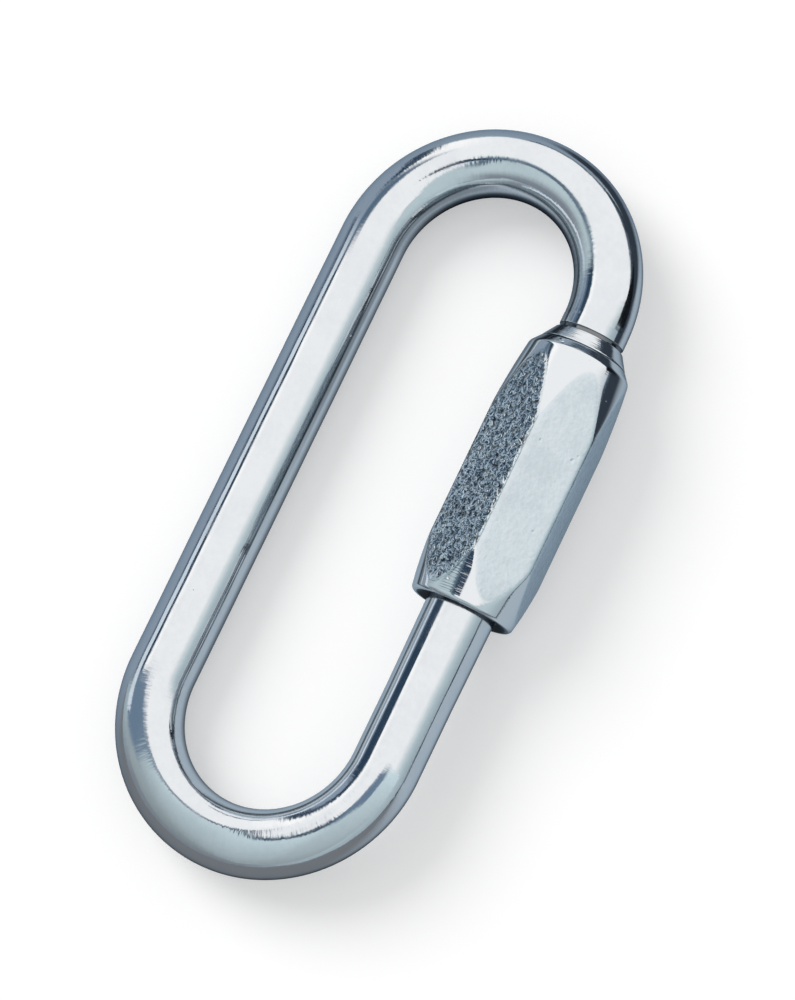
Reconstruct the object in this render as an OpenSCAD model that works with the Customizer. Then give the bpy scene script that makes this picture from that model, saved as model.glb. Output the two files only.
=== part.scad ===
// Chain quick link: a bent round bar with a gate in one leg, closed by a hexagonal sleeve nut.
// It is drawn flat in its own plane, legs along Y, and then laid down on its plain leg and
// on one corner of the nut.

/* [Link body] */
// Diameter of the round bar
bar_d = 10; // [9:0.1:11]
// Clear width between the two legs
inside_w = 27; // [24:0.5:36]
// Clear length between the two bows
inside_l = 97; // [92:0.5:130]

/* [Gate] */
// Outside diameter of the two threaded ends
thread_d = 11.9; // [11.4:0.1:13]
// Length of the threaded end below the stop collar
upper_end_l = 6.5; // [4:0.5:9]
// Clear gap between the two threaded ends
gate_gap = 17; // [12:0.5:20]
// Length of the threaded end that carries the nut
lower_end_l = 13; // [9:0.5:16]
// Lead-in chamfer at the tip of each threaded end
tip_chamfer = 0.6; // [0.2:0.1:1]
// Length of the cone from the lower thread down to the bar
run_out_l = 1; // [0.5:0.1:2]
// Radial growth of the bar where it was upset for the lower thread
swell = 0.2; // [0:0.05:0.3]
// Length over which the bar grows
swell_l = 17; // [10:0.5:20]

/* [Stop collar] */
// Length of the flared collar that the nut is screwed against
collar_l = 2.15; // [1.5:0.05:4]
// Step of the collar's lower face beyond the thread
collar_step = 0.65; // [0.2:0.05:0.8]
// Step of the collar's upper edge beyond the bar
collar_lip = 0.2; // [0.1:0.05:0.4]
// Width of the groove above the collar
groove_w = 0.6; // [0.3:0.1:1]
// Depth of the groove above the collar
groove_depth = 0.2; // [0.1:0.05:0.4]
// Straight bar between the collar and the bow, with the groove in it
collar_to_bow = 2.3; // [1:0.1:3]

/* [Sleeve nut] */
// Size of the nut across its flats
nut_af = 16; // [15.5:0.1:18]
// Length of the nut
nut_l = 41; // [38:0.5:44]
// Depth taken off each long corner of the hexagon
corner_break = 0.15; // [0.05:0.05:0.4]
// Width of the lower end's face outside its countersink
lip_wall = 0.5; // [0.2:0.05:0.6]
// Size of the 45 degree bevel round the lower end
lip_bevel = 0.35; // [0.1:0.05:0.5]
// Depth of the 45 degree countersink in the lower end
mouth_depth = 0.9; // [0.4:0.1:1.4]
// Length of the taper from the lower bevel to the full corners
lower_taper_l = 8.4; // [4:0.1:12]
// Wall of the upper end outside the bore
rim_wall = 0.6; // [0.3:0.05:1]
// Length of the steep bevel at the upper end
bevel_l = 1.45; // [0.6:0.05:2]
// Diameter where that bevel meets the upper taper
bevel_d = 15.6; // [14.6:0.1:16.4]
// Length of the taper from the upper bevel to the full corners
upper_taper_l = 11.6; // [6:0.1:14]
// Radial clearance between the threaded ends and the nut
thread_clear = 0.1; // [0.05:0.01:0.2]
// Gap between the nut and the stop collar when closed
seat_gap = 0.1; // [0.05:0.05:0.3]

/* [Hidden] */
$fn = 96;

bar_r = bar_d / 2;
leg_x = (inside_w + bar_d) / 2;
leg_l = inside_l - inside_w;
bow_y = leg_l / 2;

// Stations along the gate leg, from the upper bow down
collar_top_y = bow_y - collar_to_bow;
collar_face_y = collar_top_y - collar_l;
upper_tip_y = collar_face_y - upper_end_l;
lower_tip_y = upper_tip_y - gate_gap;
lower_thread_y = lower_tip_y - lower_end_l;
run_out_y = lower_thread_y - run_out_l;
swell_y = run_out_y - swell_l;
nut_top_y = collar_face_y - seat_gap;
nut_bottom_y = nut_top_y - nut_l;

// Radii about the gate leg's axis
thread_r = thread_d / 2;
collar_r = thread_r + collar_step;
bore_r = thread_r + thread_clear;
mouth_r = bore_r + mouth_depth;
lip_r = mouth_r + lip_wall;
rim_r = bore_r + rim_wall;
bevel_r = bevel_d / 2;
flat_r = nut_af / 2;
corner_r = flat_r / cos(30);
corner_reach = corner_r - corner_break;
corner_half_w = corner_break * tan(60);

// Cutters run past the faces that they open
cut_over = 1;

// The link lies on its plain leg and on the nut's lowest corner
lie_angle = asin((corner_reach - bar_r) / (2 * leg_x));
centre_x = (bar_r - flat_r) / 2;
centre_z = bar_r + leg_x * sin(lie_angle);

steel = [0.74, 0.78, 0.81];
nut_steel = [0.66, 0.71, 0.75];

// Lays the flat link down, with its box centred on the origin and its underside at z = 0
module lay_down() {
    translate([centre_x, 0, centre_z])
        rotate([0, -lie_angle, 0])
            children();
}

// Stations of an outline counted from the seam with a bow, so that its end face is at zero
function from_seam(outline, seam_y) = [for (p = outline) [p[0], p[1] - seam_y]];

// Turns a shape drawn along Z onto the gate leg's axis, with its zero at a station of the leg
module on_gate_leg(station_y = 0) {
    translate([leg_x, station_y, 0])
        rotate([-90, 0, 0])
            children();
}

// One half turn of the bar about the centre of a bow
module bow() {
    translate([0, bow_y, 0])
        rotate_extrude(angle = 180)
            translate([leg_x, 0])
                circle(r = bar_r);
}

module plain_leg() {
    translate([-leg_x, -bow_y, 0])
        rotate([-90, 0, 0])
            cylinder(r = bar_r, h = leg_l);
}

// Upper end of the gate leg: bar, groove, flared stop collar and short thread
module upper_end() {
    on_gate_leg(bow_y)
        rotate_extrude()
            polygon(from_seam([
                [0, bow_y],
                [bar_r, bow_y],
                [bar_r, collar_top_y + groove_w],
                [bar_r - groove_depth, collar_top_y + groove_w],
                [bar_r - groove_depth, collar_top_y],
                [bar_r + collar_lip, collar_top_y],
                [collar_r, collar_face_y],
                [thread_r, collar_face_y],
                [thread_r, upper_tip_y + tip_chamfer],
                [thread_r - tip_chamfer, upper_tip_y],
                [0, upper_tip_y]
            ], bow_y));
}

// Lower end of the gate leg: bar, swell, run-out and the thread that carries the nut
module lower_end() {
    on_gate_leg(-bow_y)
        rotate_extrude()
            polygon(from_seam([
                [0, -bow_y],
                [bar_r, -bow_y],
                [bar_r, swell_y],
                [bar_r + swell, run_out_y],
                [thread_r, lower_thread_y],
                [thread_r, lower_tip_y - tip_chamfer],
                [thread_r - tip_chamfer, lower_tip_y],
                [0, lower_tip_y]
            ], -bow_y));
}

module link_body() {
    color(steel)
        lay_down()
            union() {
                plain_leg();
                bow();
                mirror([0, 1, 0]) bow();
                upper_end();
                lower_end();
            }
}

// Hexagon with each corner broken by a narrow flat, one corner along X
module hexagon() {
    polygon([
        for (k = [0:5], side = [-1, 1])
            let (dir = [cos(60 * k), sin(60 * k)], across = [-dir[1], dir[0]])
                corner_reach * dir + side * corner_half_w * across
    ]);
}

// Turned outline of the nut, which cuts the corners back to both ends
module turned_outline() {
    rotate_extrude()
        polygon([
            [0, nut_bottom_y],
            [lip_r, nut_bottom_y],
            [lip_r + lip_bevel, nut_bottom_y + lip_bevel],
            [corner_r, nut_bottom_y + lip_bevel + lower_taper_l],
            [corner_r, nut_top_y - bevel_l - upper_taper_l],
            [bevel_r, nut_top_y - bevel_l],
            [rim_r, nut_top_y],
            [0, nut_top_y]
        ]);
}

// Bore over the threaded ends, with a countersink in the lower end
module nut_bore() {
    rotate_extrude()
        polygon([
            [0, nut_bottom_y - cut_over],
            [mouth_r + cut_over, nut_bottom_y - cut_over],
            [bore_r, nut_bottom_y + mouth_depth],
            [bore_r, nut_top_y + cut_over],
            [0, nut_top_y + cut_over]
        ]);
}

module sleeve_nut() {
    color(nut_steel)
        lay_down()
            on_gate_leg()
                difference() {
                    intersection() {
                        translate([0, 0, nut_bottom_y - cut_over])
                            linear_extrude(nut_l + 2 * cut_over)
                                rotate(90 + lie_angle)
                                    hexagon();
                        turned_outline();
                    }
                    nut_bore();
                }
}

link_body();
sleeve_nut();
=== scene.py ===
"""Chain quick link: a bent, zinc plated bar closed by a hexagonal sleeve nut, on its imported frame."""

import math

import bpy
import numpy as np
from mathutils import Matrix, Vector


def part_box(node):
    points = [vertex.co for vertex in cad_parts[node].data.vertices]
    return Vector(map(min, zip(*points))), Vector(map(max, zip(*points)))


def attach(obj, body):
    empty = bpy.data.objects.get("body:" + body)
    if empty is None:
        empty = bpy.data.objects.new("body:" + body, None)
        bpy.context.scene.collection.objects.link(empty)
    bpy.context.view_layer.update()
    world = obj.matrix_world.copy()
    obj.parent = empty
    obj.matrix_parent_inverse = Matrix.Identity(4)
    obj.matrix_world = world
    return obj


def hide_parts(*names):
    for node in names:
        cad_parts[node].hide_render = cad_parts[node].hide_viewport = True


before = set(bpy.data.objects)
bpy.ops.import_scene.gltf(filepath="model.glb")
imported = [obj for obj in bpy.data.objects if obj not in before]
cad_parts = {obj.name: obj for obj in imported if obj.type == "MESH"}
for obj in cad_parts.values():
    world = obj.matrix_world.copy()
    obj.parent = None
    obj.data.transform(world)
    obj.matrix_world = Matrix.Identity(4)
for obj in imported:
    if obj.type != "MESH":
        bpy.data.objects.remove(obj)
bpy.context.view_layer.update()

MM = 0.001

# Sizes of the turned details, in millimetres, as in the part's source
BAR_R = 5.0
THREAD_R = 5.95
THREAD_DEPTH = 0.70
THREAD_PITCH = 1.25
THREAD_CLEAR = 0.10
SEAT_GAP = 0.10
UPPER_END_L = 6.5
GATE_GAP = 17.0
LOWER_END_L = 13.0
TIP_CHAMFER = 0.6
RUN_OUT_L = 1.0
SWELL = 0.2
SWELL_L = 17.0
COLLAR_L = 2.15
COLLAR_STEP = 0.65
COLLAR_LIP = 0.2
GROOVE_W = 0.6
GROOVE_DEPTH = 0.2
MOUTH_DEPTH = 0.9
LIP_WALL = 0.5
LIP_BEVEL = 0.35
LOWER_TAPER_L = 8.4
RIM_WALL = 0.6
BEVEL_L = 1.45
BEVEL_R = 7.8
UPPER_TAPER_L = 11.6

# Fine forms of the skins, in millimetres
TIP_HUB_R = 0.6
EDGE_ROUND = 0.14
WAVE_DEPTH = 0.004
GATE_STEP = 0.11
LEG_STEP = 1.0
NUT_STEP = 0.26
BORE_STEP = 0.17

# Places of the two legs and the nut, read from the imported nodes
nut_low, nut_high = [np.array(corner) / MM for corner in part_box("sleeve_nut")]
link_low, link_high = [np.array(corner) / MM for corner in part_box("link_body")]
gate_axis = (nut_low + nut_high) / 2
plain_axis = link_low + BAR_R
nut_bottom_y = nut_low[1]
nut_top_y = nut_high[1]
flat_r = (nut_high[0] - nut_low[0]) / 2
sharp_r = flat_r / math.cos(math.pi / 6)
corner_reach = (nut_high[2] - nut_low[2]) / 2
legs_apart = math.hypot(gate_axis[0] - plain_axis[0], gate_axis[2] - plain_axis[2])
leg_x = legs_apart / 2
lie_angle = math.atan2(gate_axis[2] - plain_axis[2], gate_axis[0] - plain_axis[0])
centre_x = (gate_axis[0] + plain_axis[0]) / 2
centre_z = (gate_axis[2] + plain_axis[2]) / 2
bow_y = link_high[1] - leg_x - BAR_R

# Stations down the gate leg
collar_face_y = nut_top_y + SEAT_GAP
collar_top_y = collar_face_y + COLLAR_L
upper_tip_y = collar_face_y - UPPER_END_L
lower_tip_y = upper_tip_y - GATE_GAP
lower_thread_y = lower_tip_y - LOWER_END_L
run_out_y = lower_thread_y - RUN_OUT_L
swell_y = run_out_y - SWELL_L


def smooth_step(value, low, high):
    """0 below low, 1 above high, and 3t^2 - 2t^3 between them, where t is the share of the way."""
    t = np.clip((value - low) / (high - low), 0.0, 1.0)
    return t * t * (3.0 - 2.0 * t)


def soft_min(a, b, width):
    """The lesser of a and b, with the crease where they meet rounded over about the given width."""
    share = np.clip(0.5 + 0.5 * (b - a) / width, 0.0, 1.0)
    return b + (a - b) * share - width * share * (1.0 - share)


def rounded_outline(corners, radii, steps=5):
    """An outline's corners as points: each corner with a radius becomes a quadratic curve that starts
    and ends that far from the corner, (1-t)^2 before + 2t(1-t) corner + t^2 after."""
    corners = np.array(corners, float)
    t = np.linspace(0.0, 1.0, steps)[:, None]
    made = [corners[:1]]
    for before, corner, after, radius in zip(corners[:-2], corners[1:-1], corners[2:], radii[1:-1]):
        back = before - corner
        ahead = after - corner
        reach_back = min(radius, 0.45 * np.linalg.norm(back))
        reach_ahead = min(radius, 0.45 * np.linalg.norm(ahead))
        start = corner + back / np.linalg.norm(back) * reach_back
        end = corner + ahead / np.linalg.norm(ahead) * reach_ahead
        made.append((1 - t) ** 2 * start + 2 * t * (1 - t) * corner + t ** 2 * end)
    made.append(corners[-1:])
    return np.concatenate(made)


def evened_outline(points, step):
    """The same outline with extra points, so that no two along it are further apart than the step."""
    gaps = np.linalg.norm(np.diff(points, axis=0), axis=1)
    counts = np.maximum(1, np.ceil(gaps / step)).astype(int)
    starts = np.repeat(np.arange(len(gaps)), counts)
    first = np.repeat(np.cumsum(counts) - counts, counts)
    share = ((np.arange(counts.sum()) - first) / np.repeat(counts, counts))[:, None]
    inside = points[starts] * (1 - share) + points[starts + 1] * share
    return np.concatenate([inside, points[-1:]])


def thread_radius(y, turn):
    """Radius of the right-hand thread at a height y and an angle about the gate leg: a ridge that climbs
    one pitch a turn, with a flat crest, straight flanks and a flat root."""
    phase = y / THREAD_PITCH + turn / (2 * math.pi)
    ridge = 1.0 - np.abs(2.0 * (phase - np.floor(phase)) - 1.0)
    return THREAD_R - THREAD_DEPTH * (1.0 - np.clip((ridge - 0.2) / 0.62, 0.0, 1.0))


def laid_down(x, y, z):
    """Points of the flat link's own frame, turned by the lie angle about Y and set on the ground."""
    across = centre_x + x * math.cos(lie_angle) - z * math.sin(lie_angle)
    height = centre_z + x * math.sin(lie_angle) + z * math.cos(lie_angle)
    return np.stack(np.broadcast_arrays(across, y, height), axis=-1) * MM


def ring_quads(rows, columns, rows_closed):
    """Corner numbers of the four-sided faces of a grid whose columns close on themselves."""
    row = np.arange(rows if rows_closed else rows - 1)[:, None]
    column = np.arange(columns)[None, :]
    next_row = (row + 1) % rows
    next_column = (column + 1) % columns
    quads = [row * columns + column, row * columns + next_column,
             next_row * columns + next_column, next_row * columns + column]
    return np.stack([np.broadcast_to(q, (row.size, columns)) for q in quads], axis=-1).reshape(-1, 4)


def pole_triangles(pole, ring, turned):
    """Corner numbers of the fan of triangles between a pole and a ring of points."""
    after = np.roll(ring, -1)
    ends = (after, ring) if turned else (ring, after)
    return np.stack([np.full(len(ring), pole), *ends], axis=-1)


def new_piece(name, points, quads, triangles, fields):
    """A smooth mesh object at the origin. Its faces are turned outwards by the sign of the enclosed
    volume, a sixth of the sum of a . (b x c) over its triangles. Fields are stored on its points."""
    halves = np.concatenate([quads[:, [0, 1, 2]], quads[:, [0, 2, 3]], triangles])
    a, b, c = points[halves[:, 0]], points[halves[:, 1]], points[halves[:, 2]]
    if np.sum(a * np.cross(b, c)) < 0:
        quads = quads[:, ::-1]
        triangles = triangles[:, ::-1]
    mesh = bpy.data.meshes.new(name)
    mesh.from_pydata(points.tolist(), [], quads.tolist() + triangles.tolist())
    mesh.polygons.foreach_set("use_smooth", np.ones(len(mesh.polygons), bool))
    for field, values in fields.items():
        vector = values.ndim == 2
        kind = "FLOAT_VECTOR" if vector else "FLOAT"
        layer = mesh.attributes.new(field, kind, "POINT")
        layer.data.foreach_set("vector" if vector else "value", values.astype(np.float32).ravel())
    mesh.update()
    piece = bpy.data.objects.new(name, mesh)
    bpy.context.scene.collection.objects.link(piece)
    return piece


def upper_gate_outline():
    """Height and radius down to up: tip, chamfer, short thread, stop collar, groove and bar."""
    corners = [
        (upper_tip_y, TIP_HUB_R),
        (upper_tip_y, THREAD_R - TIP_CHAMFER),
        (upper_tip_y + TIP_CHAMFER, THREAD_R),
        (collar_face_y, THREAD_R),
        (collar_face_y, THREAD_R + COLLAR_STEP),
        (collar_top_y, BAR_R + COLLAR_LIP),
        (collar_top_y, BAR_R - GROOVE_DEPTH),
        (collar_top_y + GROOVE_W, BAR_R - GROOVE_DEPTH),
        (collar_top_y + GROOVE_W, BAR_R),
        (bow_y, BAR_R),
    ]
    radii = [0, 0.15, 0.15, 0.1, 0.16, 0.14, 0.08, 0.1, 0.1, 0]
    return evened_outline(rounded_outline(corners, radii), GATE_STEP)


def lower_gate_outline():
    """Height and radius from the lower bow up: bar, swell, run-out, long thread, chamfer and tip."""
    swell_top_y = run_out_y - 0.4
    leg = np.array([(-bow_y, BAR_R), (swell_y, BAR_R), (swell_top_y, BAR_R + SWELL)])
    leg = evened_outline(leg, LEG_STEP)
    corners = [
        (swell_top_y, BAR_R + SWELL),
        (run_out_y, BAR_R + SWELL),
        (lower_thread_y, THREAD_R),
        (lower_tip_y - TIP_CHAMFER, THREAD_R),
        (lower_tip_y, THREAD_R - TIP_CHAMFER),
        (lower_tip_y, TIP_HUB_R),
    ]
    radii = [0, 0.3, 0.15, 0.15, 0.15, 0]
    end = evened_outline(rounded_outline(corners, radii), GATE_STEP)
    return np.concatenate([leg[1:-1], end])


def bent_bar():
    """The whole bar as one skin. A row of points goes round the bar at each station of its middle line:
    up the gate leg's upper end, over the upper bow, down the plain leg, round the lower bow and up to
    the lower tip. A point is centre + r (cos a outward + sin a normal), r from the outlines above,
    cut back to the thread where there is one, and less a few hundredths of a millimetre of waviness."""
    columns = 112
    upper = upper_gate_outline()
    lower = lower_gate_outline()
    sweep = np.linspace(0.0, math.pi, 112)[1:]
    leg = np.linspace(bow_y, -bow_y, 72)[1:]
    parts = [
        (np.full(len(upper), leg_x), upper[:, 0], np.zeros(len(upper)), upper[:, 1]),
        (leg_x * np.cos(sweep), bow_y + leg_x * np.sin(sweep), sweep, np.full(len(sweep), BAR_R)),
        (np.full(len(leg), -leg_x), leg, np.full(len(leg), math.pi), np.full(len(leg), BAR_R)),
        (-leg_x * np.cos(sweep), -bow_y - leg_x * np.sin(sweep), sweep + math.pi,
         np.full(len(sweep), BAR_R)),
        (np.full(len(lower), leg_x), lower[:, 0], np.full(len(lower), 2 * math.pi), lower[:, 1]),
    ]
    x, y, facing, radius = [np.concatenate(column) for column in zip(*parts)]
    bent = np.concatenate([np.full(len(part[0]), float(k in (1, 3))) for k, part in enumerate(parts)])
    on_gate = (x > leg_x - 1e-6) & (np.abs(y) < bow_y)
    along = np.concatenate([[0.0], np.cumsum(np.hypot(np.diff(x), np.diff(y)))])

    turn = np.arange(columns) * 2 * math.pi / columns
    skin = np.repeat(radius[:, None], columns, axis=1)
    threaded = on_gate & (y < collar_face_y - 0.02) & (y > run_out_y)
    cut = thread_radius(y[:, None], turn[None, :])
    plain_neck = smooth_step(y, collar_face_y - 0.9, collar_face_y - 0.5)[:, None]
    cut = cut + (THREAD_R - cut) * plain_neck
    skin = np.where(threaded[:, None], np.minimum(skin, cut), skin)
    in_thread = np.clip((radius[:, None] - skin) / THREAD_DEPTH, 0.0, 1.0)
    free = 1.0 - smooth_step(y, run_out_y - 3.0, run_out_y)[:, None] * on_gate[:, None]
    wave = (np.sin(along[:, None] / 5.3 + 2 * turn) + np.sin(along[:, None] / 2.9 - turn + 1.7)
            + np.sin(along[:, None] / 1.63 + turn) * 0.4)
    # The three waves reach 2.4 at most, so the skin never stands proud of the bar
    skin = skin - WAVE_DEPTH * (2.4 + wave) * free

    outward = skin * np.cos(turn)
    points = laid_down(
        x[:, None] + outward * np.cos(facing)[:, None],
        y[:, None] + outward * np.sin(facing)[:, None],
        skin * np.sin(turn),
    ).reshape(-1, 3)
    tips = laid_down(np.array([leg_x, leg_x]), np.array([upper_tip_y, lower_tip_y]), np.zeros(2))
    rows = len(x)
    first_ring = np.arange(columns)
    last_ring = first_ring + (rows - 1) * columns
    triangles = np.concatenate([
        pole_triangles(rows * columns, first_ring, True),
        pole_triangles(rows * columns + 1, last_ring, False),
    ])

    turned = on_gate & ((y < collar_top_y + GROOVE_W) & (y > run_out_y - 0.2))
    # Crevice mask: thread roots, the groove and the seat just below the collar, darkened in the finish by
    # dirt and painted shade
    in_groove = smooth_step(y, collar_top_y - 0.05, collar_top_y + 0.05) * (radius < BAR_R - 0.02)
    at_seat = smooth_step(y, collar_face_y - 0.9, collar_face_y - 0.2)
    at_seat = at_seat * (1.0 - smooth_step(y, collar_face_y - 0.05, collar_face_y + 0.05))
    crevice = np.maximum(np.maximum(in_groove, at_seat)[:, None], in_thread) * on_gate[:, None]
    straight = np.stack([np.repeat(along[:, None], columns, axis=1), outward, skin * np.sin(turn)], axis=-1)
    ends = np.array([[0.0, 0.0, 0.0], [along[-1], 0.0, 0.0]])
    fields = {
        "straight_bar": np.concatenate([straight.reshape(-1, 3), ends]),
        "bent": np.concatenate([np.repeat(np.convolve(bent, np.ones(9) / 9, "same"), columns), [0, 0]]),
        "turned": np.concatenate([np.repeat(turned.astype(float), columns), [1, 1]]),
        "crevice": np.concatenate([crevice.ravel(), [0, 0]]),
    }
    quads = ring_quads(rows, columns, False)
    return new_piece("bent_bar", np.concatenate([points, tips]), quads, triangles, fields)


def hexagon_radius(turn):
    """Radius of a hexagon with one corner straight up and rounded corners: the flat's distance over the
    p-norm of the six cosines to the flats, with p such that the corners keep their reach."""
    power = math.log(2.0) / math.log(sharp_r / corner_reach)
    flats = np.arange(6)[:, None] * math.pi / 3
    towards = np.clip(np.cos(turn[None, :] - flats), 0.0, None)
    return flat_r / np.sum(towards ** power, axis=0) ** (1.0 / power)


# How strong the rolled grain is on each flat, counted from +X towards +Z; the same shares lay painted shade
# with dirt in the grain's low spots, so some flats read darker than others
FLAT_GRAIN_AND_SHADE = (0.4, 0.11, 1.0, 0.8, 0.5, 0.7)


def sleeve_nut():
    """The nut as one skin closed in both directions: rows run up the outside, in over the rim, down the
    threaded bore and out through the countersink. Outside, the radius is the soft lesser of the
    hexagon and the turned outline; inside it follows the bar's thread at a clearance."""
    per_flat = 36
    w = (np.arange(per_flat) / per_flat) * 2 - 1
    across = math.pi / 6 * (0.5 * w + 0.5 * np.sin(math.pi / 2 * w))
    turn = (np.arange(6)[:, None] * math.pi / 3 + across[None, :]).ravel()
    bore_r = THREAD_R + THREAD_CLEAR
    mouth_r = bore_r + MOUTH_DEPTH
    lip_r = mouth_r + LIP_WALL
    lower_full_y = nut_bottom_y + LIP_BEVEL + LOWER_TAPER_L
    upper_full_y = nut_top_y - BEVEL_L - UPPER_TAPER_L
    outside = rounded_outline([
        (nut_bottom_y, mouth_r + 0.06),
        (nut_bottom_y, lip_r),
        (nut_bottom_y + LIP_BEVEL, lip_r + LIP_BEVEL),
        (lower_full_y, sharp_r),
        (upper_full_y, sharp_r),
        (nut_top_y - BEVEL_L, BEVEL_R),
        (nut_top_y, bore_r + RIM_WALL),
        (nut_top_y, bore_r + 0.25),
    ], [0, 0.14, 0.16, 0.6, 0.6, 0.35, 0.16, 0])
    outside = evened_outline(outside, NUT_STEP)
    bore = rounded_outline([
        (nut_top_y, bore_r + 0.2),
        (nut_top_y - 0.3, bore_r),
        (nut_bottom_y + MOUTH_DEPTH, bore_r),
        (nut_bottom_y, mouth_r),
    ], [0, 0.1, 0.1, 0], 3)
    bore = evened_outline(bore, BORE_STEP)
    y = np.concatenate([outside[:, 0], bore[:, 0]])
    outline_r = np.concatenate([outside[:, 1], bore[:, 1]])
    is_outside = np.arange(len(y)) < len(outside)

    turned_r = np.repeat(outline_r[:, None], len(turn), axis=1)
    hexagon_r = np.repeat(hexagon_radius(turn)[None, :], len(y), axis=0)
    hexed = soft_min(turned_r, hexagon_r, EDGE_ROUND)
    cut = thread_radius(y[:, None], turn[None, :] - lie_angle) + THREAD_CLEAR
    lead_in = np.maximum(
        smooth_step(y, nut_top_y - 1.1, nut_top_y - 0.7),
        1.0 - smooth_step(y, nut_bottom_y + MOUTH_DEPTH + 0.1, nut_bottom_y + MOUTH_DEPTH + 0.6),
    )[:, None]
    bored = turned_r + (np.minimum(cut, turned_r) - turned_r) * (1.0 - lead_in)
    radius = np.where(is_outside[:, None], hexed, bored)

    points = np.stack([
        gate_axis[0] + radius * np.cos(turn),
        np.repeat(y[:, None], len(turn), axis=1),
        gate_axis[2] + radius * np.sin(turn),
    ], axis=-1).reshape(-1, 3) * MM
    on_flat = smooth_step(turned_r - hexagon_r, -0.05, 0.12) * is_outside[:, None]
    on_flat = on_flat * np.repeat(FLAT_GRAIN_AND_SHADE, per_flat)[None, :]
    axial = np.stack([
        np.repeat(y[:, None], len(turn), axis=1) - nut_bottom_y,
        radius * np.cos(turn),
        radius * np.sin(turn),
    ], axis=-1).reshape(-1, 3)
    # The whole bore and countersink carry the crevice mask, a dark tone of dirt and painted shade inside
    # the nut
    in_bore = np.repeat(1.0 - is_outside, len(turn))
    fields = {"rolled_flat": on_flat.ravel(), "nut_axis": axial, "crevice": in_bore}
    no_triangles = np.zeros((0, 3), int)
    return new_piece("hexagon_nut", points, ring_quads(len(y), len(turn), True), no_triangles, fields)


def add_node(tree, kind, **settings):
    """A shader node with its own settings, such as an operation or an attribute's name."""
    node = tree.nodes.new(kind)
    for name, value in settings.items():
        setattr(node, name, value)
    return node


def feed(tree, socket, value):
    """Sets a socket from a number, a colour or another node's output."""
    if isinstance(value, bpy.types.NodeSocket):
        tree.links.new(value, socket)
    else:
        socket.default_value = value


def maths(tree, operation, *values):
    """One Math node, and its output."""
    node = add_node(tree, "ShaderNodeMath", operation=operation)
    for socket, value in zip(node.inputs, values):
        feed(tree, socket, value)
    return node.outputs[0]


def ramp(tree, value, low, high, to_low=0.0, to_high=1.0):
    """A smooth step of a value from one level to another between two bounds."""
    node = add_node(tree, "ShaderNodeMapRange", interpolation_type="SMOOTHSTEP")
    for socket, number in zip(node.inputs, (value, low, high, to_low, to_high)):
        feed(tree, socket, number)
    return node.outputs[0]


def band(tree, value, low, high, soft):
    """1 between two bounds and 0 outside them, with soft edges."""
    rise = ramp(tree, value, low - soft, low + soft)
    fall = ramp(tree, value, high - soft, high + soft, 1.0, 0.0)
    return maths(tree, "MULTIPLY", rise, fall)


def mixed(tree, share, below, above):
    """One colour laid over another by a share."""
    node = add_node(tree, "ShaderNodeMix", data_type="RGBA")
    feed(tree, node.inputs[0], share)
    feed(tree, node.inputs[6], below)
    feed(tree, node.inputs[7], above)
    return node.outputs[2]


def stretched(tree, vector, scale):
    """A Mapping node that scales a vector, for noise that is longer one way than the other."""
    node = add_node(tree, "ShaderNodeMapping")
    feed(tree, node.inputs["Vector"], vector)
    node.inputs["Scale"].default_value = scale
    return node.outputs[0]


def noise(tree, vector, scale, detail=2.0, roughness=0.5, distortion=0.0):
    """A Noise Texture's value."""
    node = add_node(tree, "ShaderNodeTexNoise")
    feed(tree, node.inputs["Vector"], vector)
    feed(tree, node.inputs["Scale"], scale)
    feed(tree, node.inputs["Detail"], detail)
    node.inputs["Roughness"].default_value = roughness
    node.inputs["Distortion"].default_value = distortion
    return node.outputs[0]


def new_group(name, inputs, outputs):
    """An empty shader node group with named inputs and outputs, and its two end nodes."""
    tree = bpy.data.node_groups.new(name, "ShaderNodeTree")
    for label, kind, value in inputs:
        socket = tree.interface.new_socket(label, in_out="INPUT", socket_type=kind)
        if value is not None:
            socket.default_value = value
    for label, kind in outputs:
        tree.interface.new_socket(label, in_out="OUTPUT", socket_type=kind)
    return tree, tree.nodes.new("NodeGroupInput"), tree.nodes.new("NodeGroupOutput")


def zinc_tone_group():
    """Zinc plate's cloudy tone: two scales of noise shift a clean tint towards a dull one, and the same
    clouds raise the roughness."""
    tree, given, made = new_group(
        "zinc_tone",
        [("Vector", "NodeSocketVector", None), ("Cloud Scale", "NodeSocketFloat", 0.2),
         ("Clean", "NodeSocketColor", None), ("Dull", "NodeSocketColor", None),
         ("Least Roughness", "NodeSocketFloat", 0.08), ("Most Roughness", "NodeSocketFloat", 0.2)],
        [("Color", "NodeSocketColor"), ("Roughness", "NodeSocketFloat")],
    )
    large = noise(tree, given.outputs["Vector"], given.outputs["Cloud Scale"], 3.0, 0.6, 0.4)
    finer = maths(tree, "MULTIPLY", given.outputs["Cloud Scale"], 7.0)
    small = noise(tree, given.outputs["Vector"], finer, 2.0, 0.55)
    clouds = maths(tree, "ADD", maths(tree, "MULTIPLY", large, 0.65), maths(tree, "MULTIPLY", small, 0.35))
    dull = ramp(tree, clouds, 0.38, 0.66)
    colour = mixed(tree, dull, given.outputs["Clean"], given.outputs["Dull"])
    tree.links.new(colour, made.inputs["Color"])
    spread = maths(tree, "SUBTRACT", given.outputs["Most Roughness"], given.outputs["Least Roughness"])
    level = maths(tree, "MULTIPLY_ADD", spread, dull, given.outputs["Least Roughness"])
    tree.links.new(level, made.inputs["Roughness"])
    return tree


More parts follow.
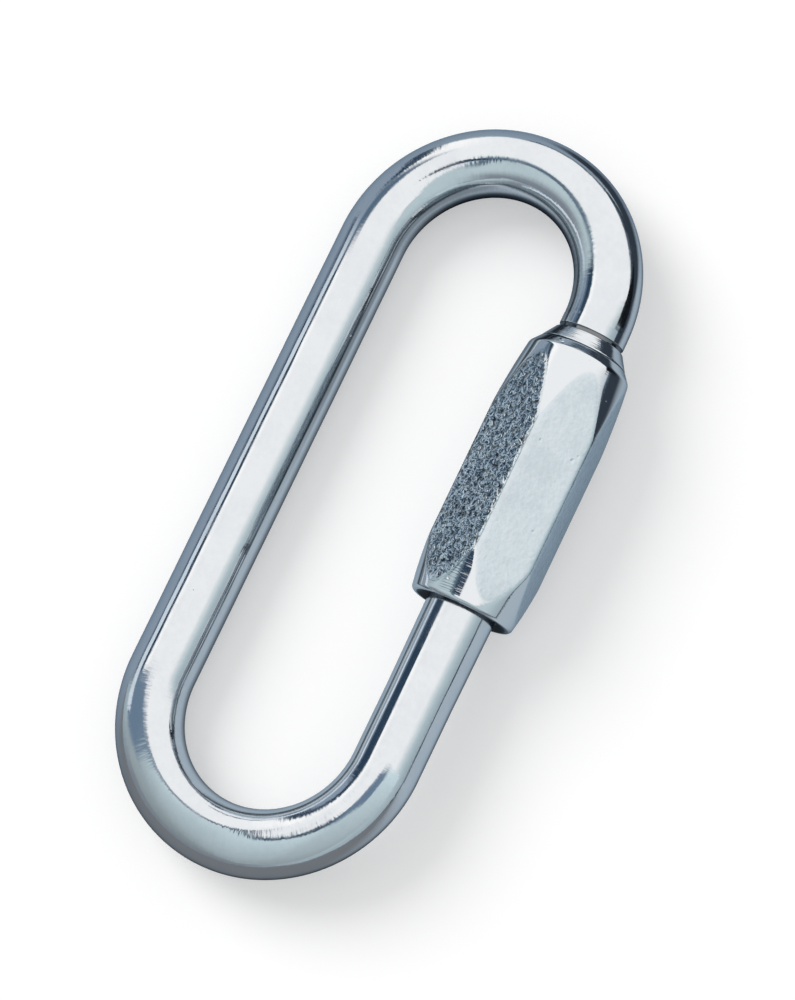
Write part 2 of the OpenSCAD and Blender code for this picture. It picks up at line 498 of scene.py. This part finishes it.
def tool_lines_group():
    """Fine parallel lines left by a die or a lathe tool: noise on a vector that was already stretched
    along the lines, coarse and fine together, as a height from 0 to 1."""
    tree, given, made = new_group(
        "tool_lines",
        [("Vector", "NodeSocketVector", None), ("Coarse", "NodeSocketFloat", 1.0),
         ("Fine", "NodeSocketFloat", 4.0), ("Fine Share", "NodeSocketFloat", 0.4)],
        [("Height", "NodeSocketFloat")],
    )
    coarse = noise(tree, given.outputs["Vector"], given.outputs["Coarse"], 2.0, 0.5)
    fine = noise(tree, given.outputs["Vector"], given.outputs["Fine"], 1.0, 0.5)
    rest = maths(tree, "SUBTRACT", 1.0, given.outputs["Fine Share"])
    coarse = maths(tree, "MULTIPLY", coarse, rest)
    height = maths(tree, "MULTIPLY_ADD", fine, given.outputs["Fine Share"], coarse)
    tree.links.new(height, made.inputs["Height"])
    return tree


def pits_group():
    """Scattered small dents: cells of a Voronoi pattern that hold a dent where a second noise is high,
    deepest in the middle, as a mask from 0 to 1."""
    tree, given, made = new_group(
        "small_pits",
        [("Vector", "NodeSocketVector", None), ("Scale", "NodeSocketFloat", 1.0),
         ("Size", "NodeSocketFloat", 0.25), ("Rarity", "NodeSocketFloat", 0.58)],
        [("Pit", "NodeSocketFloat")],
    )
    cells = add_node(tree, "ShaderNodeTexVoronoi")
    feed(tree, cells.inputs["Vector"], given.outputs["Vector"])
    feed(tree, cells.inputs["Scale"], given.outputs["Scale"])
    from_middle = maths(tree, "DIVIDE", cells.outputs["Distance"], given.outputs["Size"])
    dent = ramp(tree, from_middle, 0.2, 1.0, 1.0, 0.0)
    coarser = maths(tree, "MULTIPLY", given.outputs["Scale"], 0.8)
    patch = noise(tree, given.outputs["Vector"], coarser, 1.0)
    near = maths(tree, "SUBTRACT", patch, given.outputs["Rarity"])
    pit = maths(tree, "MULTIPLY", dent, ramp(tree, near, 0.0, 0.06))
    tree.links.new(pit, made.inputs["Pit"])
    return tree


def crevice_dirt_and_shade_group():
    """Dirt and painted shade where a cloth doesn't reach and light falls short: a mask stored on the
    points, thinned by a share, lays a dark tone over the plate's colour."""
    tree, given, made = new_group(
        "crevice_dirt_and_shade",
        [("Color", "NodeSocketColor", None), ("Crevice", "NodeSocketFloat", 0.0),
         ("Dirt", "NodeSocketColor", None), ("Share", "NodeSocketFloat", 0.8)],
        [("Color", "NodeSocketColor")],
    )
    laid = maths(tree, "MULTIPLY", given.outputs["Crevice"], given.outputs["Share"])
    soiled_and_shaded = mixed(tree, laid, given.outputs["Color"], given.outputs["Dirt"])
    tree.links.new(soiled_and_shaded, made.inputs["Color"])
    return tree


def use_group(tree, group, **values):
    """Places a node group in a material and sets its inputs; underscores stand for spaces."""
    node = add_node(tree, "ShaderNodeGroup", node_tree=group)
    for name, value in values.items():
        feed(tree, node.inputs[name.replace("_", " ")], value)
    return node.outputs


def attribute(tree, name, output):
    """A field stored on the mesh's points."""
    node = add_node(tree, "ShaderNodeAttribute", attribute_type="GEOMETRY", attribute_name=name)
    return node.outputs[output]


def new_metal(name):
    """A material with one metallic shader, its node tree and that shader."""
    material = bpy.data.materials.new(name)
    material.use_nodes = True
    tree = material.node_tree
    shader = tree.nodes["Principled BSDF"]
    shader.inputs["Metallic"].default_value = 1.0
    shader.inputs["Specular Tint"].default_value = EDGE_TINT
    return material, tree, shader


def raised(tree, height, distance, under=None):
    """A Bump node over another, with its distance in metres."""
    node = add_node(tree, "ShaderNodeBump")
    node.inputs["Strength"].default_value = 1.0
    node.inputs["Distance"].default_value = distance
    feed(tree, node.inputs["Height"], height)
    if under is not None:
        feed(tree, node.inputs["Normal"], under)
    return node.outputs[0]


CLEAN_ZINC = (0.575, 0.612, 0.642, 1.0)
DULL_ZINC = (0.545, 0.585, 0.62, 1.0)
ROLLED_ZINC = (0.50, 0.565, 0.605, 1.0)
DULL_ROLLED = (0.45, 0.515, 0.555, 1.0)
# Near-black tone laid in threads, groove, seat and bore: dirt and painted shade
THREAD_DIRT_AND_SHADE = (0.055, 0.06, 0.066, 1.0)
EDGE_TINT = (0.58, 0.64, 0.70, 1.0)

# Heights of the relief on the finishes, in metres
LINE_RELIEF = 0.000028
BAR_DENT_RELIEF = 0.00004
GRAIN_RELIEF = 0.00022
RING_RELIEF = 0.000018
NUT_DENT_RELIEF = 0.00006


def plated_bar_material(tone, lines, pits, dirt_and_shade):
    """Bright zinc on drawn bar: long die lines on the legs, short wrinkles across the bows, turned rings
    on the collar and threads, a few dents, a cloudy tone, and dirt with painted shade darkening the
    threads, groove and seat."""
    material, tree, shader = new_metal("plated_bar")
    along = attribute(tree, "straight_bar", "Vector")
    bent = attribute(tree, "bent", "Fac")
    turned = attribute(tree, "turned", "Fac")
    plate = use_group(tree, tone, Vector=along, Cloud_Scale=0.16, Clean=CLEAN_ZINC, Dull=DULL_ZINC,
                      Least_Roughness=0.07, Most_Roughness=0.14)
    drawn = use_group(tree, lines, Vector=stretched(tree, along, (0.05, 1.0, 1.0)),
                      Coarse=0.9, Fine=3.4, Fine_Share=0.35)["Height"]
    wrinkled = use_group(tree, lines, Vector=stretched(tree, along, (1.0, 0.3, 0.3)),
                         Coarse=0.8, Fine=2.6, Fine_Share=0.35)["Height"]
    rings = use_group(tree, lines, Vector=stretched(tree, along, (1.0, 0.02, 0.02)),
                      Coarse=2.0, Fine=7.0, Fine_Share=0.5)["Height"]
    share = maths(tree, "MULTIPLY_ADD", bent, 0.7, 0.3)
    height = maths(tree, "MULTIPLY_ADD", wrinkled, share, maths(tree, "MULTIPLY", drawn, 0.5))
    ringed = maths(tree, "MULTIPLY_ADD", rings, turned, height)
    dents = use_group(tree, pits, Vector=along, Scale=0.4, Size=0.1, Rarity=0.6)["Pit"]
    normal = raised(tree, ringed, LINE_RELIEF)
    normal = raised(tree, maths(tree, "MULTIPLY", dents, -1.0), BAR_DENT_RELIEF, normal)
    # Dirt and painted shade darken the threads, groove and seat
    soiled_and_shaded = use_group(tree, dirt_and_shade, Color=plate["Color"], Crevice=attribute(tree, "crevice", "Fac"),
                       Dirt=THREAD_DIRT_AND_SHADE, Share=0.8)
    tree.links.new(soiled_and_shaded["Color"], shader.inputs["Base Color"])
    tree.links.new(plate["Roughness"], shader.inputs["Roughness"])
    tree.links.new(normal, shader.inputs["Normal"])
    return material


def plated_nut_material(tone, lines, pits, dirt_and_shade):
    """Bright zinc on a rolled hexagon: coarse grain on the flats with dirt and painted shade low in it,
    strongest on the flat at 120 degrees and absent on the flat at 60, turned rings on both tapers and in
    the bore, a dark tone of dirt and painted shade in the bore, a few dents and a cloudy tone."""
    material, tree, shader = new_metal("plated_nut")
    axial = attribute(tree, "nut_axis", "Vector")
    flat = attribute(tree, "rolled_flat", "Fac")
    plate = use_group(tree, tone, Vector=axial, Cloud_Scale=0.22, Clean=ROLLED_ZINC, Dull=DULL_ROLLED,
                      Least_Roughness=0.09, Most_Roughness=0.18)
    grain = noise(tree, axial, 1.4, 1.0, 0.5, 0.25)
    rings = use_group(tree, lines, Vector=stretched(tree, axial, (1.0, 0.03, 0.03)),
                      Coarse=1.6, Fine=5.0, Fine_Share=0.5)["Height"]
    dents = use_group(tree, pits, Vector=axial, Scale=0.5, Size=0.2, Rarity=0.55)["Pit"]
    bare = ramp(tree, flat, 0.0, 0.1, 1.0, 0.0)
    normal = raised(tree, maths(tree, "MULTIPLY", grain, flat), GRAIN_RELIEF)
    normal = raised(tree, maths(tree, "MULTIPLY", rings, bare), RING_RELIEF, normal)
    normal = raised(tree, maths(tree, "MULTIPLY", dents, -1.0), NUT_DENT_RELIEF, normal)
    colour = mixed(tree, bare, plate["Color"], CLEAN_ZINC)
    # Painted shade and dirt in the grain: its low spots are darkened by each flat's share, most on the flat
    # at 120 degrees and not at all on the flat at 60
    low_grain = ramp(tree, grain, 0.33, 0.55, 0.85, 0.0)
    low_grain = maths(tree, "MULTIPLY", low_grain, ramp(tree, flat, 0.2, 1.0))
    dirt_and_shade_mask = maths(tree, "MAXIMUM", attribute(tree, "crevice", "Fac"), low_grain)
    soiled_and_shaded = use_group(tree, dirt_and_shade, Color=colour, Crevice=dirt_and_shade_mask, Dirt=THREAD_DIRT_AND_SHADE, Share=0.85)
    tree.links.new(soiled_and_shaded["Color"], shader.inputs["Base Color"])
    smoother = maths(tree, "MULTIPLY", plate["Roughness"], ramp(tree, bare, 0.0, 1.0, 1.0, 0.55))
    tree.links.new(smoother, shader.inputs["Roughness"])
    tree.links.new(normal, shader.inputs["Normal"])
    return material


WHITE = (1.0, 1.0, 1.0, 1.0)
FLOOR_GREY = (0.72, 0.72, 0.72, 1.0)
FLOOR_WHITE = 0.385
EVEN_FILL = (0.54, 0.54, 0.54, 1.0)
PANEL = (1.42, 1.37, 1.34, 1.0)
PANEL_RIM = (1.66, 1.57, 1.51, 1.0)
WALL_HIGH = (0.78, 0.895, 0.915, 1.0)
WALL_LOW = (0.55, 0.64, 0.69, 1.0)
FAR_WALL = (0.40, 0.48, 0.58, 1.0)
DIM_CORNER = (0.33, 0.36, 0.40, 1.0)
DARK_HORIZON = (0.10, 0.14, 0.19, 1.0)
GAP_TONE = (0.16, 0.225, 0.295, 1.0)
BLACK_CLOTH = (0.04, 0.075, 0.125, 1.0)
COOL_BOARD = (0.40, 0.48, 0.57, 1.0)
PALE_BOARD = (0.60, 0.68, 0.75, 1.0)
NEUTRAL_BOARD = (0.27, 0.28, 0.295, 1.0)
DARK_BOARD = (0.05, 0.065, 0.085, 1.0)
CARD_BORDER = (0.05, 0.10, 0.16, 1.0)
MILD_BORDER = (0.23, 0.32, 0.43, 1.0)
CARD_TONE = (0.90, 1.03, 1.06, 1.0)
STRIP_TONE = (1.0, 1.07, 1.14, 1.0)
FLAG_TONE = (0.01, 0.012, 0.015, 1.0)

# Heights of the flat cards and the board over the floor, in millimetres
CARD_HEIGHT = 40.0
BOARD_HEIGHT = 0.3


def pale_floor():
    """A wide pale floor. Its diffuse part takes the light and the shadow, and an even part of its white is
    seen directly, in metal and through glass."""
    half = 3.0
    corners = [(-half, -half, 0.0), (half, -half, 0.0), (half, half, 0.0), (-half, half, 0.0)]
    mesh = bpy.data.meshes.new("pale_floor")
    mesh.from_pydata(corners, [], [(0, 1, 2, 3)])
    floor = bpy.data.objects.new("pale_floor", mesh)
    bpy.context.scene.collection.objects.link(floor)
    material = bpy.data.materials.new("pale_floor")
    material.use_nodes = True
    tree = material.node_tree
    tree.nodes.remove(tree.nodes["Principled BSDF"])
    path = tree.nodes.new("ShaderNodeLightPath")
    seen = maths(tree, "MAXIMUM", path.outputs["Is Camera Ray"], path.outputs["Is Glossy Ray"])
    seen = maths(tree, "MAXIMUM", seen, path.outputs["Is Transmission Ray"])
    matt = tree.nodes.new("ShaderNodeBsdfDiffuse")
    matt.inputs["Color"].default_value = FLOOR_GREY
    glow = tree.nodes.new("ShaderNodeEmission")
    tree.links.new(maths(tree, "MULTIPLY", seen, FLOOR_WHITE), glow.inputs["Strength"])
    both = tree.nodes.new("ShaderNodeAddShader")
    tree.links.new(matt.outputs[0], both.inputs[0])
    tree.links.new(glow.outputs[0], both.inputs[1])
    tree.links.new(both.outputs[0], tree.nodes["Material Output"].inputs["Surface"])
    mesh.materials.append(material)


def studio_tent():
    """The studio that the metal mirrors, set out by direction: a wide white panel overhead that leans to
    +Y, a dark gap along its lower edge, a black notch in it, black cloth low on the -X side, a dark
    horizon at +Y and pale blue-grey walls. Seen directly it is white, and matt surfaces get an even
    fill from it."""
    world = bpy.data.worlds.new("studio_tent")
    bpy.context.scene.world = world
    world.use_nodes = True
    tree = world.node_tree
    backdrop = tree.nodes["Background"]
    direction = add_node(tree, "ShaderNodeTexCoord").outputs["Generated"]
    parts = add_node(tree, "ShaderNodeSeparateXYZ")
    tree.links.new(direction, parts.inputs[0])
    x, y, z = parts.outputs

    tent = mixed(tree, ramp(tree, z, 0.0, 0.6), WALL_LOW, WALL_HIGH)
    corner = ramp(tree, x, -0.1, 0.5, 1.0, 0.0)
    corner = maths(tree, "MULTIPLY", corner, ramp(tree, y, -0.5, -0.05, 1.0, 0.0))
    corner = maths(tree, "MULTIPLY", corner, ramp(tree, z, 0.35, 0.75, 1.0, 0.0))
    tent = mixed(tree, corner, tent, DIM_CORNER)

    beside = ramp(tree, y, -0.05, 0.05)
    cloth = maths(tree, "MULTIPLY", ramp(tree, x, -0.78, -0.74, 1.0, 0.0), beside)
    tent = mixed(tree, cloth, tent, BLACK_CLOTH)
    behind = maths(tree, "MULTIPLY", ramp(tree, y, 0.19, 0.27), ramp(tree, x, -0.86, -0.82, 1.0, 0.0))
    far_wall = maths(tree, "MAXIMUM", ramp(tree, x, -0.99, -0.95, 1.0, 0.0), behind)
    tent = mixed(tree, maths(tree, "MULTIPLY", far_wall, cloth), tent, FAR_WALL)

    hollow = maths(tree, "MULTIPLY", ramp(tree, x, -0.50, -0.05), ramp(tree, x, 0.45, 0.95, 1.0, 0.0))
    above_edge = maths(tree, "SUBTRACT", maths(tree, "MULTIPLY_ADD", hollow, 0.42, y), 0.07)
    gap = band(tree, above_edge, -0.2, -0.05, 0.045)
    gap = maths(tree, "MULTIPLY", gap, band(tree, x, -0.76, -0.1, 0.12))
    tent = mixed(tree, gap, tent, GAP_TONE)
    horizon = maths(tree, "MULTIPLY", ramp(tree, z, 0.05, 0.12, 1.0, 0.0), ramp(tree, y, 0.2, 0.34))
    horizon = maths(tree, "MULTIPLY", horizon, ramp(tree, x, -0.5, -0.35))
    tent = mixed(tree, horizon, tent, DARK_HORIZON)

    reach = maths(tree, "MAXIMUM", maths(tree, "SUBTRACT", y, 0.2), 0.0)
    sideways = maths(tree, "MULTIPLY_ADD", reach, -0.5, x)
    panel = ramp(tree, sideways, 0.62, 0.95, 1.0, 0.0)
    panel = maths(tree, "MULTIPLY", ramp(tree, x, -0.76, -0.74), panel)
    panel = maths(tree, "MULTIPLY", panel, ramp(tree, above_edge, -0.05, 0.03))
    panel = maths(tree, "MULTIPLY", panel, ramp(tree, z, 0.06, 0.12))
    panel_tone = mixed(tree, ramp(tree, x, -0.74, -0.55, 1.0, 0.0), PANEL, PANEL_RIM)
    tent = mixed(tree, panel, tent, panel_tone)
    notch = band(tree, y, -0.225, -0.11, 0.02)
    notch = maths(tree, "MULTIPLY", notch, band(tree, x, -0.32, -0.03, 0.03))
    notch = maths(tree, "MULTIPLY", notch, ramp(tree, z, 0.5, 0.7))
    tent = mixed(tree, notch, tent, BLACK_CLOTH)

    path = tree.nodes.new("ShaderNodeLightPath")
    mirrored = maths(tree, "MAXIMUM", path.outputs["Is Glossy Ray"], path.outputs["Is Transmission Ray"])
    lit = mixed(tree, mirrored, EVEN_FILL, tent)
    shown = mixed(tree, path.outputs["Is Camera Ray"], lit, WHITE)
    tree.links.new(shown, backdrop.inputs["Color"])
    backdrop.inputs["Strength"].default_value = 1.0


def studio_card(name, points, light, share=1.0):
    """A small card of the studio, a grid of points with a colour of light and a share of cover at each.
    Only the metal mirrors it: it is not in the picture and neither lights nor shades the floor."""
    rows, columns = points.shape[:2]
    corner = np.arange(rows * columns).reshape(rows, columns)
    quads = np.stack([corner[:-1, :-1], corner[:-1, 1:], corner[1:, 1:], corner[1:, :-1]], axis=-1)
    mesh = bpy.data.meshes.new(name)
    mesh.from_pydata((points.reshape(-1, 3) * MM).tolist(), [], quads.reshape(-1, 4).tolist())
    layer = mesh.attributes.new("card_light", "FLOAT_VECTOR", "POINT")
    layer.data.foreach_set("vector", np.broadcast_to(light, points.shape).astype(np.float32).ravel())
    layer = mesh.attributes.new("card_cover", "FLOAT", "POINT")
    layer.data.foreach_set("value", np.broadcast_to(share, points.shape[:2]).astype(np.float32).ravel())
    material = bpy.data.materials.new(name)
    material.use_nodes = True
    tree = material.node_tree
    tree.nodes.remove(tree.nodes["Principled BSDF"])
    glow = tree.nodes.new("ShaderNodeEmission")
    tree.links.new(attribute(tree, "card_light", "Vector"), glow.inputs["Color"])
    covered = tree.nodes.new("ShaderNodeMixShader")
    tree.links.new(attribute(tree, "card_cover", "Fac"), covered.inputs[0])
    tree.links.new(tree.nodes.new("ShaderNodeBsdfTransparent").outputs[0], covered.inputs[1])
    tree.links.new(glow.outputs[0], covered.inputs[2])
    tree.links.new(covered.outputs[0], tree.nodes["Material Output"].inputs["Surface"])
    mesh.materials.append(material)
    card = bpy.data.objects.new(name, mesh)
    card.visible_camera = False
    card.visible_diffuse = False
    card.visible_shadow = False
    bpy.context.scene.collection.objects.link(card)


def standing_card(name, x, y, low, high, light, cover=1.0):
    """An upright card in one plane across X, between two heights at each y."""
    heights = np.stack(np.broadcast_arrays(low, high, y)[:2])
    points = np.stack(np.broadcast_arrays(x, y, heights), axis=-1)
    studio_card(name, points, light, cover)


def strip_light():
    """A low strip of light beside the plain leg, which fades out before the upper bow."""
    y = np.linspace(-45.0, 45.0, 31)
    cover = 1.0 - smooth_step(y, 34.0, 43.0)
    standing_card("strip_light", -42.0, y, 15.5, 22.0, STRIP_TONE[:3], cover)


def black_flag():
    """A black flag past the upper bow on the gate's side, 57 - 0.6 y high, between 0.5 and 24."""
    y = np.linspace(46.0, 102.0, 15)
    top = np.clip(57.0 - 0.6 * y, 0.5, 24.0)
    standing_card("black_flag", 60.0, y, 0.0, top, FLAG_TONE[:3])


def grey_board():
    """A grey board under the link that darkens the metal's lower edges: cool at the -X side, paler at the
    +X side and inside the eye, neutral below the lower bow, dark beyond the upper bow, and dark in its bend
    and less dark from there down the eye, a painted shadow of the upper bow. It gets darker close to the
    link, a painted contact shade, by the distance from the stadium that is the bar's middle line."""
    far_steps = np.array([400.0, 900.0, 2500.0])
    steps = np.concatenate([-far_steps[::-1], np.linspace(-200.0, 200.0, 201), far_steps])
    x, y = np.meshgrid(steps, steps)
    points = np.stack([x, y, np.full(x.shape, BOARD_HEIGHT)], axis=-1)
    out = np.hypot(x - centre_x, np.maximum(np.abs(y) - bow_y, 0.0)) - leg_x
    inside = smooth_step(-out, 0.0, 4.0)
    paler = np.maximum(smooth_step(x, 10.0, 26.0), inside)
    below = 1.0 - smooth_step(y, -62.0, -35.0)
    past_bow = smooth_step(y + 0.5 * x, 65.0, 77.0) * smooth_step(x, -12.0, 0.0)
    past_bow = past_bow * (1.0 - smooth_step(y, 108.0, 135.0))
    beyond = np.maximum(smooth_step(x, 30.0, 48.0) * smooth_step(y, 18.0, 34.0), past_bow)
    # Painted shadow of the upper bow: the board inside the eye darkens towards the bow
    down_the_eye = 0.55 * smooth_step(y, -10.0, 20.0) * smooth_step(x, -8.0, -3.0)
    in_bend = np.maximum(down_the_eye, smooth_step(y, 34.0, 44.0))
    beyond = np.maximum(beyond, inside * in_bend)
    light = np.broadcast_to(COOL_BOARD[:3], (*x.shape, 3))
    for share, tone in ((paler, PALE_BOARD), (below, NEUTRAL_BOARD), (beyond, DARK_BOARD)):
        light = light + (np.array(tone[:3]) - light) * share[..., None]
    # Painted contact shade: the board falls to a fifth of its tone under the bar's middle line
    shade = 0.2 + 0.8 * smooth_step(np.abs(out), 4.0, 12.0)
    studio_card("grey_board", points, light * shade[..., None])


def fill_card():
    """A pale card over the lower bow. Its near edge has a hollow, -31 - 19 exp(-((x - 3) / w)^4) with w 17
    to the left and 14 to the right. Behind its soft edge it has a dark border, wider at both ends of the
    hollow, and then a pale tone that falls as 0.5 + 0.47 exp(-b / 52) + 0.22 exp(-b / 8) with the
    distance b behind the edge."""
    x = np.linspace(-110.0, 90.0, 201)[None, :]
    back = np.concatenate([
        np.arange(0.0, 8.0, 0.4),
        np.arange(8.0, 26.0, 1.2),
        np.geomspace(26.0, 190.0, 12),
    ])[:, None]
    edge = -31.0 - 19.0 * np.exp(-((x - 3.0) / np.where(x < 3.0, 17.0, 14.0)) ** 4)
    points = np.stack(np.broadcast_arrays(x, edge - back, CARD_HEIGHT), axis=-1)
    left = np.clip(-20.0 - x, 0.0, 28.0)
    right = np.exp(-((x - 22.0) / 7.5) ** 4)
    width = 5.7 + 0.55 * left + 9.0 * right
    cover = smooth_step(back, 1.2, 3.2 + 4.0 * np.exp(-((x + 25.0) / 7.0) ** 2) + 2.0 * right)
    pale = smooth_step(back, width - 0.9, width + 0.9 + 0.25 * left + 3.0 * right)
    pale = np.maximum(pale, smooth_step(x, 28.0, 36.0))
    milder = np.maximum(smooth_step(-x, 15.0, 26.0), smooth_step(x, 9.0, 18.0))[..., None]
    fall = (0.5 + 0.47 * np.exp(-back / 52.0) + 0.22 * np.exp(-back / 8.0)) / (1.0 + 0.012 * left)
    border = np.array(CARD_BORDER[:3]) * (1.0 - milder) + np.array(MILD_BORDER[:3]) * milder
    light = border + (np.array(CARD_TONE[:3]) * fall[..., None] - border) * pale[..., None]
    studio_card("fill_card", points, light, cover)


def dark_drape():
    """A dark drape over the upper bow's -X side, with soft edges, paler away from the link."""
    x, y = np.meshgrid(np.linspace(-110.0, -40.0, 36), np.linspace(38.0, 80.0, 22))
    points = np.stack([x, y, np.full(x.shape, CARD_HEIGHT)], axis=-1)
    cover = smooth_step(y, 38.0, 46.0) * (1.0 - smooth_step(y, 60.0, 78.0))
    cover = cover * (1.0 - smooth_step(x, -44.0, -39.0))
    far = (1.0 - smooth_step(x, -74.0, -62.0))[..., None]
    near = 0.6 * np.array(MILD_BORDER[:3]) + 0.4 * np.array(CARD_BORDER[:3])
    light = near * (1.0 - far) + np.array(FAR_WALL[:3]) * far
    studio_card("dark_drape", points, light, cover)


def key_light():
    """A broad sun from the -X side, a little towards +Y, which only casts the soft shadow on the floor."""
    lamp = bpy.data.lights.new("key_light", "SUN")
    lamp.energy = 1.6
    lamp.angle = math.radians(38.0)
    key = bpy.data.objects.new("key_light", lamp)
    towards = Vector((0.68, -0.24, -0.69))
    key.rotation_euler = towards.to_track_quat("-Z", "Y").to_euler()
    key.visible_glossy = False
    bpy.context.scene.collection.objects.link(key)


def camera():
    """The photograph's camera: almost overhead, from the +X, -Y side, through a long lens."""
    place = Vector((0.16172, -0.10203, 0.62312))
    view = Vector((-0.2492, 0.1595, -0.9552)).normalized()
    up = Vector((-0.3841, 0.8892, 0.2486))
    right = view.cross(up).normalized()
    up = right.cross(view)
    lens = bpy.data.cameras.new("camera")
    lens.lens = 162.0
    lens.sensor_width = 36.0
    eye = bpy.data.objects.new("camera", lens)
    turn = Matrix((right, up, -view)).transposed()
    eye.matrix_world = Matrix.Translation(place) @ turn.to_4x4()
    bpy.context.scene.collection.objects.link(eye)
    bpy.context.scene.camera = eye


def dress(piece, material, node, body):
    """Gives a piece its finish, hides the node it stands for and attaches the piece to the body it rides
    on.
    """
    piece.data.materials.append(material)
    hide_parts(node)
    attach(piece, body)


tone_group = zinc_tone_group()
lines_group = tool_lines_group()
pit_group = pits_group()
dirt_and_shade_group = crevice_dirt_and_shade_group()
bar_finish = plated_bar_material(tone_group, lines_group, pit_group, dirt_and_shade_group)
nut_finish = plated_nut_material(tone_group, lines_group, pit_group, dirt_and_shade_group)
dress(bent_bar(), bar_finish, "link_body", "link")
dress(sleeve_nut(), nut_finish, "sleeve_nut", "nut")
pale_floor()
studio_tent()
strip_light()
black_flag()
fill_card()
dark_drape()
grey_board()
key_light()
camera()
bpy.context.scene.view_settings.view_transform = "Standard"
